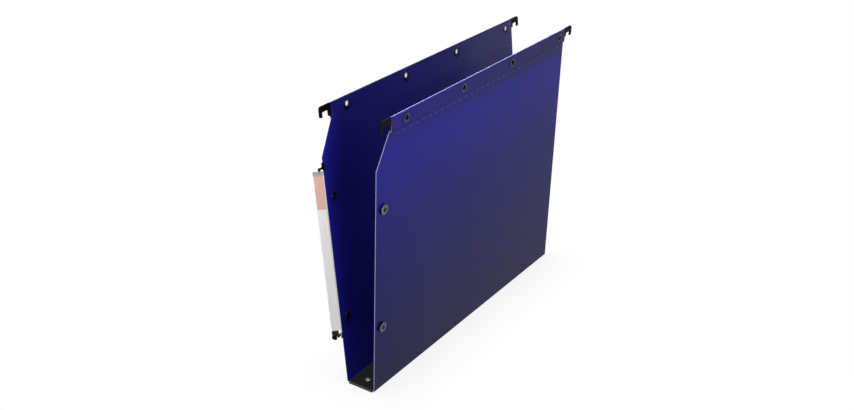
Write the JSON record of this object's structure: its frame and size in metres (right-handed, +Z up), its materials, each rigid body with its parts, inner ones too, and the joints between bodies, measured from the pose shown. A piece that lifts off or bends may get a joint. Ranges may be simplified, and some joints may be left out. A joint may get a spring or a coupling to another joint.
{
  "type": "hanging file folder",
  "caption": "Plastic suspension file: two hinged wings on a stiffened narrow base, hooked rails along the top, press studs and a swivelling clear label holder.",
  "frame": {"origin": "middle of the base's underside", "axes": "+X from the label end to the far end, +Y from the front wing to the rear wing, +Z up"},
  "size_m": [0.3603, 0.0698, 0.2786],
  "materials": {
    "sheet": "satin blue polypropylene sheet",
    "board": "black stiffening board",
    "hook": "black moulded plastic",
    "rail": "bare steel strip",
    "rivet": "nickel-plated tube",
    "stud": "dull nickel plate",
    "spring": "spring wire",
    "holder": "clear extruded plastic",
    "paper": "matt white paper"
  },
  "bodies": {
    "base": {"base_outer_board": "board", "base_sheet": "sheet", "base_inner_board": "board", "base_rivets": "rivet"},
    "front_wing": {"front_wing": "sheet", "front_rail": "rail", "front_near_hook": "hook", "front_far_hook": "hook", "front_band_rivets": "rivet", "front_stud_sockets": "stud", "front_socket_springs": "spring", "front_socket_caps": "stud"},
    "rear_wing": {"rear_wing": "sheet", "rear_rail": "rail", "rear_near_hook": "hook", "rear_far_hook": "hook", "rear_band_rivets": "rivet", "rear_studs": "stud", "rear_stud_caps": "stud", "label_top_clip": "hook", "label_bottom_clip": "hook"},
    "label_holder": {"label_holder": "holder", "label_end_cap": "hook"},
    "label_strip": {"label_strip": "paper"}
  },
  "joints": [
    {"name": "front_wing_hinge", "type": "hinge", "parent": "base", "child": "front_wing", "pos_m": [0, -0.0158, 0.0014], "axis": [1, 0, 0], "range_deg": [-4.7, 77.9]},
    {"name": "rear_wing_hinge", "type": "hinge", "parent": "base", "child": "rear_wing", "pos_m": [0, 0.0158, 0.0014], "axis": [-1, 0, 0], "range_deg": [-7.5, 75.1]},
    {"name": "label_swivel", "type": "hinge", "parent": "rear_wing", "child": "label_holder", "pos_m": [-0.1734, 0.02781, 0.13687], "axis": [0, 0.0854, 0.9963], "range_deg": [-133, 47]},
    {"name": "label_slide", "type": "slide", "parent": "label_holder", "child": "label_strip", "axis": [0, 0.0854, 0.9963], "range_m": [0, 0.16]}
  ]
}
